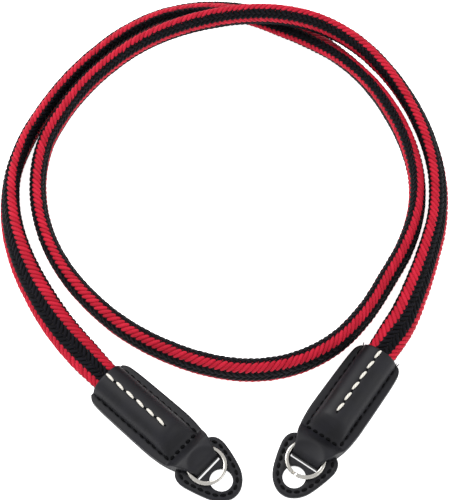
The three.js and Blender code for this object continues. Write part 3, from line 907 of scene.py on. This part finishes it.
def tab_stitch_runs():
    """The sewn line round the rope's seat: down both sides and across the foot."""
    runs = []
    for v in (-STITCH_OUT, STITCH_OUT):
        runs += [(on_tab(a, v), on_tab(b, v)) for a, b in stitch_row(*SIDE_ROW)]
    foot = stitch_row(*FOOT_ROW)
    return runs + [(on_tab(STITCH_END, a), on_tab(STITCH_END, b)) for a, b in foot]


def loose_end_runs():
    """Cut thread ends that stick out past the right tab's mouth."""
    runs = []
    for side in (-1, 1):
        start = on_tab(LOOSE_FROM, side * STITCH_OUT)
        runs += [(start, start + [ahead, side * out, up]) for ahead, out, up in LOOSE_ENDS]
    return runs


def seam_runs():
    """The hand-sewn pale stitches down the middle, each a little askew."""
    runs = []
    for k, (a, b) in enumerate(stitch_row(*SEAM_ROW)):
        skew = SEAM_SKEWS[k % 2]
        runs.append((on_tab(a, skew), on_tab(b, -skew)))
    return runs


def seam_slit_shadow_runs():
    """Dark spindles of thread in the slits between the pale stitches, the last one shorter: painted
    shade for the slits' dark insides.
    """
    slits = stitch_row(*SLIT_ROW)
    slits[-1] = (slits[-1][0], slits[-1][0] + LAST_SLIT)
    return [(on_tab(a, -SLIT_SKEW), on_tab(b, SLIT_SKEW)) for a, b in slits]


# Ring pads

def pad_loop(inset, count=120):
    """The pad's outline, moved in by an inset, as evenly spaced points."""
    half = [(TAB_LENGTH + past, out) for past, out in PAD_HALF]
    closed = np.array(half + [(u, -v) for u, v in half[-2:0:-1]])
    curve = []
    for i in range(len(closed)):
        p0, p1, p2, p3 = (closed[(i + k) % len(closed)] for k in (-1, 0, 1, 2))
        for t in np.linspace(0, 1, 24, endpoint=False):
            a = 2 * p1 + (p2 - p0) * t + (2 * p0 - 5 * p1 + 4 * p2 - p3) * t * t
            curve.append((a + (3 * p1 - p0 - 3 * p2 + p3) * t**3) / 2)
    curve = np.array(curve)
    ends = np.vstack([curve, curve[:1]])
    walked = walked_along(ends)
    at = np.linspace(0, walked[-1], count, endpoint=False)
    even = np.stack([np.interp(at, walked, ends[:, k]) for k in range(2)], 1)
    ahead = np.roll(even, -1, axis=0) - np.roll(even, 1, axis=0)
    inward = np.stack([ahead[:, 1], -ahead[:, 0]], 1)
    inward /= np.linalg.norm(inward, axis=1)[:, None]
    return even + inward * inset


def circle(radius, count=48):
    """A circle round the pad's hole."""
    angle = np.arange(count) * 2 * math.pi / count
    return np.stack([HOLE_AT + radius * np.cos(angle), radius * np.sin(angle)], 1)


def slit_loop():
    """The slit that the tongue comes through, as a closed loop."""
    near, far, reach = PAD_SLIT
    return np.array([(near, -reach), (far, -reach), (far, reach), (near, reach)])


def pad_droop(u):
    """How far the pad sags at a distance from the tab's mouth."""
    return PAD_DROOP * np.clip((u - DROOP_FROM) / DROOP_LENGTH, 0, 1) ** 1.6


def pad_loops():
    """The lines that the pad's face follows, each with its drop below the face."""
    loops = [(pad_loop(inset), drop) for inset, drop in PAD_EDGE]
    loops += [(circle(HOLE_RADIUS + out), drop) for out, drop in HOLE_EDGE]
    return loops + [(slit_loop(), 0.0)]


def in_slit(u, v, margin=0.0):
    """Whether a point is in the slit, or within a margin of it."""
    near, far, reach = PAD_SLIT
    return near - margin < u < far + margin and abs(v) < reach + margin


def pad_grid():
    """Points spread over the pad's face, clear of its outline, hole and slit."""
    inner = pad_loop(GRID_INSET)
    points = []
    for u in np.arange(*GRID_LONG, GRID_STEP):
        for v in np.arange(*GRID_WIDE, GRID_STEP):
            clear = np.min(np.hypot(inner[:, 0] - u, inner[:, 1] - v)) > GRID_CLEAR
            in_hole = math.hypot(u - HOLE_AT, v) < HOLE_RADIUS + HOLE_CLEAR
            cut_out = in_hole or in_slit(u, v, GRID_CLEAR)
            if clear and inside_loop(inner, u, v) and not cut_out:
                points.append((u, v))
    return points


def pad_sheet():
    """The pad's flat triangles, their corners, and how far each lies below the face."""
    points, drops, edges = [], [], []
    for loop, drop in pad_loops():
        first = len(points)
        points += [tuple(p) for p in loop]
        drops += [drop] * len(loop)
        edges += [(first + i, first + (i + 1) % len(loop)) for i in range(len(loop))]
    grid = pad_grid()
    points += grid
    drops += [0.0] * len(grid)
    result = geometry.delaunay_2d_cdt([Vector(p) for p in points], edges, [], 0, 1e-6)
    corners, triangles, source = np.array(result[0]), result[2], result[3]
    outline = pad_loop(0)
    kept = [f for f in triangles if is_pad(outline, *corners[list(f)].mean(axis=0))]
    drop = [drops[s[0]] if s else 0.0 for s in source]
    return corners, kept, np.array(drop)


def inside_loop(loop, u, v):
    """Whether a point is inside a closed loop."""
    a, b = loop, np.roll(loop, -1, axis=0)
    crosses = (a[:, 1] > v) != (b[:, 1] > v)
    rise = np.where(crosses, b[:, 1] - a[:, 1], 1)
    at = a[:, 0] + (v - a[:, 1]) * (b[:, 0] - a[:, 0]) / rise
    return bool(np.sum(crosses & (at > u)) % 2)


def is_pad(outline, u, v):
    """Whether a point is on the pad's leather, and not over its hole or slit."""
    if math.hypot(u - HOLE_AT, v) < HOLE_RADIUS or not inside_loop(outline, u, v):
        return False
    return not in_slit(u, v)


def boundary_edges(triangles):
    """The directed edges that only one triangle has."""
    seen = {}
    for f in triangles:
        for a, b in zip(f, f[1:] + f[:1]):
            seen[(a, b)] = True
    return [(a, b) for a, b in seen if (b, a) not in seen]


def into_leather(ring):
    """At each point of the pad's rims, the direction into the leather."""
    hole = np.hypot(ring[:, 0] - HOLE_AT, ring[:, 1]) < HOLE_RADIUS + NEAR_HOLE
    inward = np.where(hole[:, None], ring - [HOLE_AT, 0], PAD_MIDDLE - ring)
    return inward / np.linalg.norm(inward, axis=1)[:, None]


def rim_faces(edges, rim, count):
    """Quads down the pad's cut edges, over the line between its two layers."""
    levels = [{i: i for i in rim}]
    for n in range(len(PAD_SEAM)):
        first = 2 * count + n * len(rim)
        levels.append({i: first + k for k, i in enumerate(rim)})
    levels.append({i: count + i for i in rim})
    faces = []
    for a, b in edges:
        for upper, lower in zip(levels, levels[1:]):
            faces.append([upper[b], upper[a], lower[a], lower[b]])
    return faces


def build_pad(side, leather):
    """A ring pad: its face, the same below, and its cut edges."""
    corners, triangles, drop = pad_sheet()
    triangles = [list(f) for f in triangles]
    count = len(corners)
    sag = pad_droop(corners[:, 0])
    middle = (PAD_BASE + PAD_TOP) / 2
    top = np.column_stack([corners, PAD_TOP - drop - sag])
    under = np.column_stack([corners, PAD_BASE + drop - sag])
    points = [top, under]
    edges = boundary_edges(triangles)
    rim = sorted({i for edge in edges for i in edge})
    ring = corners[rim]
    for height, inset in PAD_SEAM:
        place = ring + into_leather(ring) * inset
        points.append(np.column_stack([place, middle + height - sag[rim]]))
    faces = triangles + [[count + i for i in reversed(f)] for f in triangles]
    faces += rim_faces(edges, rim, count)
    mesh = new_mesh(f"{side}_pad_leather", tab_to_world(side, np.vstack(points)), faces)
    face_outwards(mesh)
    mesh.set_sharp_from_angle(angle=math.radians(EDGE_SHARP))
    new_object(f"{side}_pad_leather", mesh, [leather], [f"{side}_ring_pad"])


def pad_stitch_runs():
    """The sewn line round a ring pad, a little in from its edge."""
    line = pad_loop(PAD_STITCH_IN, PAD_STITCH_POINTS)
    ends = np.vstack([line, line[:1]])
    walked = walked_along(ends)
    count = int(round(walked[-1] / PAD_STITCH_PITCH))

    def on_pad(turn):
        at = walked[-1] * turn / count
        u, v = (float(np.interp(at, walked, ends[:, n])) for n in (0, 1))
        return u, v, PAD_TOP - PAD_STITCH_LOW - float(pad_droop(u))

    return [tuple(on_pad(k + share) for share in PAD_STITCH_SPAN) for k in range(count)]


# Split rings

def wire_section():
    """The flat wire's rounded section: distance out and up, corner by corner."""
    section = []
    for start, right, high in ((0, 1, 1), (90, -1, 1), (180, -1, -1), (270, 1, -1)):
        for degree in (0, 30, 60, 90):
            angle = math.radians(start + degree)
            out = right * (RING_WIRE / 2 - RING_CORNER) + RING_CORNER * math.cos(angle)
            middle = RING_TURN / 2 + high * (RING_TURN / 2 - RING_CORNER)
            section.append((out, middle + RING_CORNER * math.sin(angle)))
    return section


def build_split_ring(side, nickel):
    """Two flat turns of rounded wire, with a short step between them."""
    step = math.radians(RING_STEP)
    turn = 2 * math.pi - step
    total = 2 * turn + step
    section = wire_section()
    points = []
    for i in range(RING_ROWS):
        swept = total * i / (RING_ROWS - 1)
        t = min(1, max(0, (swept - turn) / step))
        base = RING_BASE + t * t * (3 - 2 * t) * RING_RISE
        angle = math.radians(RING_END[side]) + swept
        for out, up in section:
            radius = RING_RADIUS + out
            points.append((RING_AT + radius * math.cos(angle), radius * math.sin(angle), base + up))
    faces = tube_faces(RING_ROWS, len(section))
    mesh = new_mesh(f"{side}_ring_wire", tab_to_world(side, points), faces)
    face_outwards(mesh)
    mesh.set_sharp_from_angle(angle=math.radians(EDGE_SHARP))
    new_object(f"{side}_ring_wire", mesh, [nickel], [f"{side}_split_ring"])


# Stage, light and camera

def build_stage():
    """A white floor that glows enough to stay white, just under the strap."""
    material, tree, shader = new_material(
        "pale_floor", Roughness=0.9, Specular_IOR_Level=0.1, Emission_Strength=0.9
    )
    look = {"Base Color": linear("#F7F7F7"), "Emission Color": linear("#FFFFFF")}
    set_inputs(tree, shader, look)
    half, low = 3.0, -0.0002
    corners = [(x * half, y * half, low) for x, y in ((-1, -1), (1, -1), (1, 1), (-1, 1))]
    mesh = new_mesh("floor", corners, [(0, 1, 2, 3)], smooth=False)
    mesh.materials.append(material)
    floor = bpy.data.objects.new("floor", mesh)
    bpy.context.scene.collection.objects.link(floor)


def add_softbox(name, place, side, power):
    """A square soft light that faces the middle of the strap."""
    light = bpy.data.lights.new(name, "AREA")
    light.shape = "RECTANGLE"
    light.size = light.size_y = side
    light.energy = power
    lamp = bpy.data.objects.new(name, light)
    lamp.location = place
    lamp.rotation_euler = (-Vector(place)).to_track_quat("-Z", "Y").to_euler()
    bpy.context.scene.collection.objects.link(lamp)


def build_light():
    """A bright even surround, a large soft light from behind and a weaker one in front."""
    world = bpy.data.worlds.new("studio")
    bpy.context.scene.world = world
    world.use_nodes = True
    background = world.node_tree.nodes["Background"]
    background.inputs["Color"].default_value = linear("#FFFFFF")
    background.inputs["Strength"].default_value = 0.85
    add_softbox("key_softbox", place=(-0.5, 0.45, 0.9), side=0.7, power=9.0)
    add_softbox("fill_softbox", place=(0.8, -0.3, 0.7), side=0.5, power=2.0)
    view = bpy.context.scene.view_settings
    view.view_transform = "Standard"
    view.look = "None"


def build_camera():
    """The photograph's view: from the front, looking down, with a long lens."""
    data = bpy.data.cameras.new("camera")
    data.sensor_fit = "VERTICAL"
    data.sensor_height = 36.0
    data.lens = 108.0
    data.clip_start = 0.01
    camera = bpy.data.objects.new("camera", data)
    camera.location = (0.000131, -0.276560, 0.500507)
    camera.rotation_euler = (math.radians(28.267), 0, 0)
    bpy.context.scene.collection.objects.link(camera)
    bpy.context.scene.camera = camera


# Assembly

build_camera()
build_light()
build_stage()

# Each yarn's first colour is for painted shade and its last for painted highlights.
RED = yarn_material("red_braided_acrylic", "#6E0A1B", "#C2112C", "#DE2C48", gloss=0.18, painted_groove_shade=0.12)
BLACK = yarn_material(
    "black_braided_acrylic", "#010102", "#0A090F", "#201E28", gloss=0.1, painted_groove_shade=0.7
)
CORE = core_material()
LEATHER = leather_material()
NICKEL = nickel_material()
PALE_THREAD = thread_material("cream_linen_thread", "#B9B4A8", "#EFECE4", 0.55)
BLACK_THREAD = thread_material("black_polyester_thread", "#020203", "#0A0A0C", 0.75)

build_rope([RED, BLACK, CORE])
for end in ("left", "right"):
    build_tab(end, LEATHER)
    build_pad(end, LEATHER)
    build_split_ring(end, NICKEL)
    build_stitches("tab_stitches", end, tab_stitch_runs(), MACHINE_STITCH, BLACK_THREAD)
    build_stitches("seam_stitches", end, seam_runs(), SEAM_STITCH, PALE_THREAD)
    # Painted shade: dark thread spindles that stand for the shade inside the seam's slits.
    build_stitches("seam_slit_shadows", end, seam_slit_shadow_runs(), SEAM_SLIT_SHADOW, BLACK_THREAD)
    build_stitches("pad_stitches", end, pad_stitch_runs(), PAD_STITCH, BLACK_THREAD)

build_stitches("loose_thread", "right", loose_end_runs(), LOOSE_THREAD, BLACK_THREAD)
